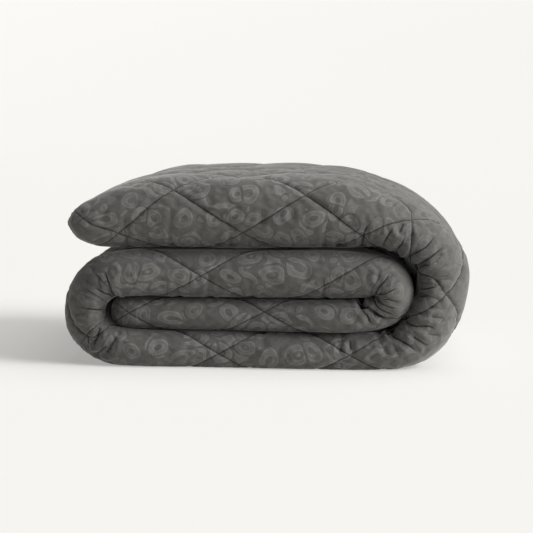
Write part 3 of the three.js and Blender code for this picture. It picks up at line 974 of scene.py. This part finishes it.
def motif_field(nodes, cloth, spacing):
    """Signed distance, in spacings, to the edge of the motifs: rings, open rings and blots."""
    place = swayed_place(nodes, cloth, spacing, MOTIF_SEED, MOTIF_SWAY)
    inputs = {"Vector": place, "Scale": 1.0, "Randomness": MOTIF_SCATTER}
    cells = nodes.add("ShaderNodeTexVoronoi", inputs, voronoi_dimensions="2D")
    borders = nodes.add(
        "ShaderNodeTexVoronoi", inputs, voronoi_dimensions="2D", feature="DISTANCE_TO_EDGE")
    red, green, blue = nodes.add("ShaderNodeSeparateColor", {"Color": cells.outputs["Color"]}).outputs
    arm = nodes.vector("SUBTRACT", place, cells.outputs["Position"])
    arm = nodes.vector("MULTIPLY", arm, (1.0, 1.0, 0.0))
    turn = nodes.math("MULTIPLY", blue, 2 * math.pi)
    cosine = nodes.math("COSINE", turn)
    sine = nodes.math("SINE", turn)
    axis = nodes.add("ShaderNodeCombineXYZ", {"X": cosine, "Y": sine})
    across = nodes.add("ShaderNodeCombineXYZ", {"X": nodes.math("MULTIPLY", sine, -1.0), "Y": cosine})
    ahead = nodes.vector("DOT_PRODUCT", arm, axis.outputs[0])
    beside = nodes.vector("DOT_PRODUCT", arm, across.outputs[0])
    squeeze = nodes.ramp(green, 0.0, 1.0, *MOTIF_SQUEEZE)
    squeezed = nodes.add(
        "ShaderNodeCombineXYZ", {"X": nodes.math("MULTIPLY", ahead, squeeze), "Y": beside})
    distance = nodes.vector("LENGTH", squeezed.outputs[0])
    outer = nodes.math("SUBTRACT", distance, radius(nodes, MOTIF_RADIUS, red))
    clearance = nodes.math("SUBTRACT", MOTIF_CLEARANCE, borders.outputs["Distance"])
    outer = nodes.math("SMOOTH_MAX", outer, clearance, MOTIF_CORNER)
    hole = nodes.math("SUBTRACT", radius(nodes, HOLE_RADIUS, red), distance)
    ring = nodes.math("SMOOTH_MAX", outer, hole, HOLE_CORNER)
    slot = nodes.math("SUBTRACT", SLOT_HALF, nodes.math("ABSOLUTE", beside))
    slot = nodes.math("SMOOTH_MIN", slot, nodes.math("SUBTRACT", ahead, SLOT_START), SLOT_CORNERS[0])
    opened = nodes.math("SMOOTH_MAX", ring, slot, SLOT_CORNERS[1])
    blot = nodes.math("SUBTRACT", distance, radius(nodes, BLOT_RADIUS, red))
    field = nodes.lerp(ring, opened, nodes.math("GREATER_THAN", green, OPENED_OVER))
    return nodes.lerp(field, blot, nodes.math("LESS_THAN", green, BLOTS_UNDER))


def stroke_field(nodes, cloth, spacing, motifs):
    """Signed distance to the crooked strokes that fill the cloth between the motifs."""
    place = swayed_place(nodes, cloth, spacing, STROKE_SEED, STROKE_SWAY)
    hills = nodes.math("SUBTRACT", nodes.noise(place, STROKE_SCALE, 0.0), 0.5)
    away = nodes.math("ABSOLUTE", nodes.math("SUBTRACT", hills, STROKE_HEIGHT))
    stroke = nodes.math("MULTIPLY", nodes.math("SUBTRACT", away, STROKE_HALF), STROKE_GAIN)
    ends = nodes.math("SUBTRACT", CUT_HEIGHT, nodes.noise(place, CUT_SCALE, 0.0))
    stroke = nodes.math("SMOOTH_MAX", stroke, nodes.math("MULTIPLY", ends, CUT_GAIN), CUT_CORNER)
    clearance = nodes.math("SUBTRACT", STROKE_CLEARANCE, motifs)
    return nodes.math("SMOOTH_MAX", stroke, clearance, STROKE_CORNER)


# The cloth. A mottling is a noise whose values from low to high give a share from least to most.
Mottling = namedtuple("Mottling", "scale detail roughness low high least most")
PATCHES = Mottling(21.0, 1.0, 0.5, 0.35, 0.60, 0.55, 1.0)  # where the print is fainter
CLOUDS = Mottling(120.0, 3.0, 0.6, 0.25, 0.75, 0.86, 1.14)
GRAIN = Mottling(800.0, 3.0, 0.75, 0.2, 0.8, 0.70, 1.30)
PRINT_EDGE = (0.025, -0.030)     # distances from a motif's edge between which its colour comes in
LINE_INSET = 0.028               # the thin outline lies this far inside the edge, in spacings
LINE_REACH = 0.044
LINE_SHARE = 0.62
STITCH_REACH = (0.0003, 0.0013)  # the sewn line, dark from its thread and from painted shade in its groove, is darkest up to one distance and ends at the other
STITCH_AND_GROOVE_SHADE = 0.40
# Painted shade along the creases: its reach from a crease, and how much it darkens the cloth
PAINTED_CREASE_REACH = (0.0018, 0.0003)
PAINTED_CREASE_DARKENING = 0.9
# Painted shade in the gaps where another layer or the floor meets the cover: how much it darkens the cloth
PAINTED_GAP_DARKENING = 0.95
PRINT_RISE = 0.00025
GRAIN_RISE = 0.00012
STITCH_SINK = 0.0006
STITCH_SLOPE = 0.0025            # distance from the sewn line over which the cloth sinks to it
BUMP_STRENGTH = 0.8
SPECULAR = 0.2
SHEEN_ROUGHNESS = 0.45
SHEEN_TINT = (0.9, 0.9, 0.88)


def mottled(nodes, cloth, mottling):
    """The noise of a mottling and the share that it gives."""
    noise = nodes.noise(cloth, mottling.scale, mottling.detail, mottling.roughness)
    return noise, nodes.ramp(noise, mottling.low, mottling.high, mottling.least, mottling.most)


def less(nodes, share, amount):
    """What a darkening by the amount leaves where the share is 1, and nothing less where it is 0."""
    return nodes.math("SUBTRACT", 1.0, nodes.math("MULTIPLY", share, amount))


def product(nodes, *values):
    """The values multiplied together."""
    result = values[0]
    for value in values[1:]:
        result = nodes.math("MULTIPLY", result, value)
    return result


def cover_material():
    """Brushed microfibre with a tone-on-tone print. It is darker along its stitching, from the thread and
    from painted shade in the groove, and it has painted shade in its creases and in the gaps between
    layers.
    """
    look = fabric()
    nodes = Nodes("brushed_microfibre")
    cloth = nodes.add("ShaderNodeUVMap", uv_map="cloth").outputs[0]
    motifs = motif_field(nodes, cloth, look.motif_spacing)
    field = nodes.math("MINIMUM", motifs, stroke_field(nodes, cloth, look.motif_spacing, motifs))
    inside = nodes.ramp(field, *PRINT_EDGE)
    line = nodes.ramp(nodes.math("ABSOLUTE", nodes.math("ADD", field, LINE_INSET)), LINE_REACH, 0.0)
    patches = nodes.math("MULTIPLY", mottled(nodes, cloth, PATCHES)[1], nodes.attribute("printed"))
    colour = nodes.mix(nodes.math("MULTIPLY", inside, patches), rgb(look.ground), rgb(look.motif))
    outlined = nodes.math("MULTIPLY", line, nodes.math("MULTIPLY", patches, LINE_SHARE))
    colour = nodes.mix(outlined, colour, rgb(look.outline))

    clouds = mottled(nodes, cloth, CLOUDS)[1]
    grain, grain_shade = mottled(nodes, cloth, GRAIN)
    seams = [nodes.math("ABSOLUTE", nodes.attribute(name)) for name in ("rising_seam", "falling_seam")]
    seam = nodes.math("MINIMUM", *seams)
    # Darker along the sewn line: partly the thread, partly painted shade in the stitched groove
    stitch_and_groove_shade = nodes.ramp(seam, *STITCH_REACH, STITCH_AND_GROOVE_SHADE, 1.0)
    # Painted shade along the creases, darkening the base colour
    crease = nodes.ramp(nodes.math("ABSOLUTE", nodes.attribute("crease")), *PAINTED_CREASE_REACH)
    painted_crease_factor = less(nodes, nodes.math("MULTIPLY", crease, nodes.attribute("painted_crease_shade")), PAINTED_CREASE_DARKENING)
    # Painted shade in the gaps between the layers, darkening the base colour
    painted_gap_factor = less(nodes, nodes.attribute("painted_gap_shade"), PAINTED_GAP_DARKENING)
    # Random tone of the cloth times the painted shade of its stitching, creases and gaps
    tone_and_painted_shade = product(nodes, clouds, grain_shade, stitch_and_groove_shade, painted_crease_factor, painted_gap_factor)
    grey = nodes.add("ShaderNodeCombineXYZ", {"X": tone_and_painted_shade, "Y": tone_and_painted_shade, "Z": tone_and_painted_shade})
    colour = nodes.vector("MULTIPLY", colour, grey.outputs[0])

    height = nodes.math("MULTIPLY", inside, PRINT_RISE)
    height = nodes.math("ADD", height, nodes.math("MULTIPLY", grain, GRAIN_RISE))
    sunk = nodes.math("MULTIPLY", nodes.ramp(seam, 0.0, STITCH_SLOPE), STITCH_SINK)
    height = nodes.math("ADD", height, sunk)
    bump = nodes.add("ShaderNodeBump", {"Height": height, "Strength": BUMP_STRENGTH, "Distance": 1.0})
    return nodes.finished({
        "Base Color": colour, "Normal": bump.outputs[0], "Roughness": look.roughness,
        "Specular IOR Level": SPECULAR, "Sheen Weight": look.sheen, "Sheen Roughness": SHEEN_ROUGHNESS,
        "Sheen Tint": rgb(SHEEN_TINT)})


class StudioStage(bpy.types.PropertyGroup):
    """Camera, lights and floor"""
    azimuth: FloatProperty(
        name="Azimuth", description="Turn of the camera towards the right-hand side",
        default=math.radians(3.0), subtype="ANGLE", unit="ROTATION")
    elevation: FloatProperty(
        name="Elevation", description="Height of the camera over the level view",
        default=math.radians(5.2), subtype="ANGLE", unit="ROTATION")
    roll: FloatProperty(
        name="Roll", description="Tilt of the camera about its own line of sight",
        default=math.radians(0.6), subtype="ANGLE", unit="ROTATION")
    distance: FloatProperty(
        name="Distance", description="Distance from the camera to the front edge of the duvet",
        default=2.3, min=0.1, unit="LENGTH")
    focal_length: FloatProperty(
        name="Focal length", description="Focal length for a sensor of 36 mm", default=131.7, min=1.0)
    aim_height: FloatProperty(
        name="Aim height", description="Height over the floor that the camera looks at",
        default=0.1235, unit="LENGTH")
    key_azimuth: FloatProperty(
        name="Key azimuth", description="Turn of the key light from the camera's side towards the right",
        default=math.radians(74.0), subtype="ANGLE", unit="ROTATION")
    key_elevation: FloatProperty(
        name="Key elevation", description="Height of the key light over the floor",
        default=math.radians(28.0), subtype="ANGLE", unit="ROTATION")
    key_softness: FloatProperty(
        name="Key softness", description="Angle that the key light fills as seen from the duvet",
        default=math.radians(40.0), subtype="ANGLE", unit="ROTATION")
    key_strength: FloatProperty(
        name="Key strength", description="Strength of the key light", default=4.6, min=0.0)
    top_azimuth: FloatProperty(
        name="Top azimuth", description="Turn of the top light from the camera's side towards the right",
        default=math.radians(120.0), subtype="ANGLE", unit="ROTATION")
    top_elevation: FloatProperty(
        name="Top elevation", description="Height of the top light over the floor",
        default=math.radians(65.0), subtype="ANGLE", unit="ROTATION")
    top_softness: FloatProperty(
        name="Top softness", description="Angle that the top light fills as seen from the duvet",
        default=math.radians(60.0), subtype="ANGLE", unit="ROTATION")
    top_strength: FloatProperty(
        name="Top strength", description="Strength of the top light", default=1.3, min=0.0)
    ambient: FloatProperty(
        name="Ambient", description="Strength of the light from all round", default=0.08, min=0.0)
    floor_colour: FloatVectorProperty(
        name="Floor", description="Colour of the light table and its backdrop",
        default=(0.505, 0.500, 0.482), min=0, max=1, subtype="COLOR")
    floor_glow: FloatProperty(
        name="Floor glow", description="Light that the light table gives off by itself",
        default=0.343, min=0.0)


AIM_ASIDE = 0.0026  # the camera looks this far to the right of the middle
SENSOR_WIDTH = 36.0
VIEW_DEPTH = 100.0
LIGHT_COLOUR = (1.0, 0.995, 0.985)
LAMP_DISTANCE = 4.0


def studio():
    return bpy.context.scene.duvet_studio


def aim(thing, place, target, roll=0.0):
    """Stands a light or camera at a place, looking at the target."""
    look = (Vector(target) - Vector(place)).to_track_quat("-Z", "Y")
    thing.location = place
    thing.rotation_euler = (look.to_matrix().to_4x4() @ Matrix.Rotation(roll, 4, "Z")).to_euler()


def from_camera_side(azimuth, elevation):
    """Direction from the duvet to a thing that stands round to the right and above it."""
    flat = math.cos(elevation)
    return Vector((math.sin(azimuth) * flat, -math.cos(azimuth) * flat, math.sin(elevation)))


def add_light(name, azimuth, elevation, softness, strength):
    light = bpy.data.lights.new(name, "SUN")
    light.energy = strength
    light.angle = softness
    light.color = LIGHT_COLOUR
    lamp = bpy.data.objects.new(name, light)
    bpy.context.scene.collection.objects.link(lamp)
    aim(lamp, LAMP_DISTANCE * from_camera_side(azimuth, elevation), Vector())


def add_lights(settings):
    """The two lights, and the faint light from all round."""
    add_light(
        "key", settings.key_azimuth, settings.key_elevation, settings.key_softness, settings.key_strength)
    add_light(
        "top", settings.top_azimuth, settings.top_elevation, settings.top_softness, settings.top_strength)
    world = bpy.data.worlds.new("studio")
    world.use_nodes = True
    background = world.node_tree.nodes["Background"]
    background.inputs["Color"].default_value = rgb(LIGHT_COLOUR)
    background.inputs["Strength"].default_value = settings.ambient
    bpy.context.scene.world = world


class DUVET_OT_add_cover(bpy.types.Operator):
    """Adds the filled cover with its seams, creases and cloth"""
    bl_idname = "duvet.add_cover"
    bl_label = "Add cover"
    bl_options = {"REGISTER", "UNDO"}

    def execute(self, context):
        cover = build_cover()
        cover.data.materials.append(cover_material())
        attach(cover, BODY)
        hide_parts(NODE)
        return {"FINISHED"}


class DUVET_OT_add_stage(bpy.types.Operator):
    """Adds the floor, the lights and the camera"""
    bl_idname = "duvet.add_stage"
    bl_label = "Add stage"
    bl_options = {"REGISTER", "UNDO"}

    def execute(self, context):
        settings = studio()
        add_camera(settings)
        floor = add_floor(settings)
        add_lights(settings)
        context.scene.view_settings.view_transform = "Standard"
        return {"FINISHED"}


def add_camera(settings):
    """A camera that looks at the front edge of the duvet."""
    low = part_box(NODE)[0]
    target = Vector((AIM_ASIDE, low.y, settings.aim_height))
    direction = from_camera_side(settings.azimuth, settings.elevation)
    data = bpy.data.cameras.new("camera")
    data.lens = settings.focal_length
    data.sensor_width = SENSOR_WIDTH
    data.dof.use_dof = False
    data.clip_end = VIEW_DEPTH
    camera = bpy.data.objects.new("camera", data)
    bpy.context.scene.collection.objects.link(camera)
    aim(camera, target + direction * settings.distance, target, settings.roll)
    bpy.context.scene.camera = camera


FLOOR_HALF = 8.0
BACKDROP_RUN = 6.0   # the backdrop leans far back, so that the lights fill it as they fill the floor
BACKDROP_RISE = 1.9
BACKDROP_BEND = 2.0
BEND_SEGMENTS = 16
FLOOR_LEVEL = 0.01   # edges under this height belong to the floor
GLOW_COLOUR = (1.0, 0.992, 0.965)


def add_floor(settings):
    """A floor that bends up into a leaning backdrop on every side."""
    bpy.ops.object.select_all(action="DESELECT")
    bpy.ops.mesh.primitive_plane_add(size=2 * FLOOR_HALF, location=(0, 0, 0))
    floor = bpy.context.object
    floor.name = "floor"
    select_edges(floor, lambda point: True)
    bpy.ops.mesh.extrude_edges_move(TRANSFORM_OT_translate={"value": (0, 0, BACKDROP_RISE)})
    widening = 1 + BACKDROP_RUN / FLOOR_HALF
    bpy.ops.transform.resize(value=(widening, widening, 1))
    select_edges(floor, lambda point: point.z < FLOOR_LEVEL)
    bpy.ops.mesh.bevel(offset=BACKDROP_BEND, segments=BEND_SEGMENTS)
    bpy.ops.object.mode_set(mode="OBJECT")
    bpy.ops.object.shade_smooth()
    floor.data.materials.append(Nodes("pale_paper").finished({
        "Base Color": rgb(settings.floor_colour), "Roughness": 0.9, "Specular IOR Level": 0.1,
        "Emission Color": rgb(GLOW_COLOUR), "Emission Strength": settings.floor_glow}))
    return floor


def select_edges(piece, chosen):
    """Goes into edit mode with the edges selected whose ends are all chosen by their place."""
    bpy.ops.object.mode_set(mode="EDIT")
    bpy.ops.mesh.select_mode(type="EDGE")
    bpy.ops.mesh.select_all(action="DESELECT")
    bpy.ops.object.mode_set(mode="OBJECT")
    for edge in piece.data.edges:
        edge.select = all(chosen(piece.data.vertices[v].co) for v in edge.vertices)
    bpy.ops.object.mode_set(mode="EDIT")


class DUVET_PT_build(bpy.types.Panel):
    """Lists the steps that build the duvet"""
    bl_idname = "DUVET_PT_build"
    bl_label = "Folded duvet"
    bl_space_type = "VIEW_3D"
    bl_region_type = "UI"
    bl_category = "Duvet"

    def draw(self, context):
        for step in STEPS:
            self.layout.operator(step.bl_idname)


STEPS = (DUVET_OT_add_cover, DUVET_OT_add_stage)
GROUPS = {"duvet_shape": DuvetShape, "duvet_fabric": DuvetFabric, "duvet_studio": StudioStage}


def register():
    for kind in (*GROUPS.values(), *STEPS, DUVET_PT_build):
        bpy.utils.register_class(kind)
    for name, group in GROUPS.items():
        setattr(bpy.types.Scene, name, PointerProperty(type=group))


def unregister():
    for name in GROUPS:
        delattr(bpy.types.Scene, name)
    for kind in reversed((*GROUPS.values(), *STEPS, DUVET_PT_build)):
        bpy.utils.unregister_class(kind)


def main():
    register()
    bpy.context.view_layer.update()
    bpy.ops.duvet.add_cover()
    bpy.ops.duvet.add_stage()


if __name__ == "__main__":
    main()
